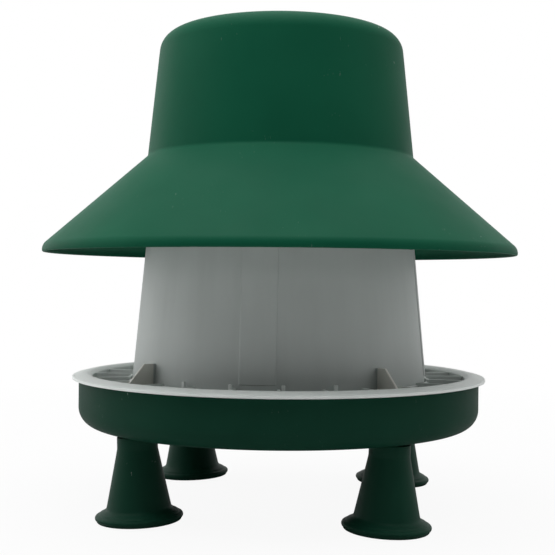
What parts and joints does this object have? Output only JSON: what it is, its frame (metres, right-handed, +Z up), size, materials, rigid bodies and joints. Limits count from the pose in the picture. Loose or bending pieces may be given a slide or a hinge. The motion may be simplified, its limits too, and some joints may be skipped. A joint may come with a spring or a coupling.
{
  "type": "gravity poultry feeder",
  "caption": "Free-standing gravity feeder for poultry: tapered hopper in a round pan with a slotted feed-saver grill, brimmed rain hat and flared legs.",
  "frame": {"origin": "on the floor under the centre of the four feet", "axes": "+Z up along the hopper's axis; the legs stand on the diagonals between X and Y; the bail's pivots are on X"},
  "size_m": [0.4298, 0.4298, 0.428],
  "materials": {
    "hat_green": "satin moulded, fine grain",
    "pan_green": "satin moulded",
    "leg_green": "satin moulded",
    "hopper_grey": "satin moulded, slightly translucent",
    "grill_grey": "satin moulded",
    "cone_grey": "satin moulded",
    "galvanised_wire": "galvanised"
  },
  "bodies": {
    "base": {"feed_pan": "pan_green"},
    "spreader": {"feed_cone": "cone_grey"},
    "tube": {"hopper": "hopper_grey"},
    "grill": {"feed_saver_grill": "grill_grey"},
    "hat": {"rain_hat": "hat_green"},
    "bail": {"bail_handle": "galvanised_wire"},
    "leg_body_rear_right": {"leg_rear_right": "leg_green"},
    "leg_body_rear_left": {"leg_rear_left": "leg_green"},
    "leg_body_front_left": {"leg_front_left": "leg_green"},
    "leg_body_front_right": {"leg_front_right": "leg_green"}
  },
  "joints": [
    {"name": "hopper_twist", "type": "hinge", "parent": "base", "child": "spreader", "pos_m": [0, 0, 0], "axis": [0, 0, 1], "range_deg": [0, 12]},
    {"name": "hopper_lift", "type": "slide", "parent": "spreader", "child": "tube", "axis": [0, 0, 1], "range_m": [0, 0.15]},
    {"name": "grill_lift", "type": "slide", "parent": "spreader", "child": "grill", "axis": [0, 0, 1], "range_m": [0, 0.12]},
    {"name": "hat_lift", "type": "slide", "parent": "tube", "child": "hat", "axis": [0, 0, 1], "range_m": [0, 0.33]},
    {"name": "bail_swing", "type": "hinge", "parent": "tube", "child": "bail", "pos_m": [0, 0, 0.408], "axis": [1, 0, 0], "range_deg": [0, 90]},
    {"name": "leg_rear_right_twist", "type": "hinge", "parent": "base", "child": "leg_body_rear_right", "pos_m": [0.10536, 0.10536, 0.072], "axis": [0.0358, 0, 0.9994], "range_deg": [0, 45]},
    {"name": "leg_rear_left_twist", "type": "hinge", "parent": "base", "child": "leg_body_rear_left", "pos_m": [-0.10536, 0.10536, 0.072], "axis": [-0.0358, 0, 0.9994], "range_deg": [0, 45]},
    {"name": "leg_front_left_twist", "type": "hinge", "parent": "base", "child": "leg_body_front_left", "pos_m": [-0.10536, -0.10536, 0.072], "axis": [-0.0358, 0, 0.9994], "range_deg": [0, 45]},
    {"name": "leg_front_right_twist", "type": "hinge", "parent": "base", "child": "leg_body_front_right", "pos_m": [0.10536, -0.10536, 0.072], "axis": [0.0358, 0, 0.9994], "range_deg": [0, 45]}
  ],
  "couplings": [
    {"joint": "bail_swing", "follows": "hat_lift", "rad_per_m": 4.75}
  ]
}
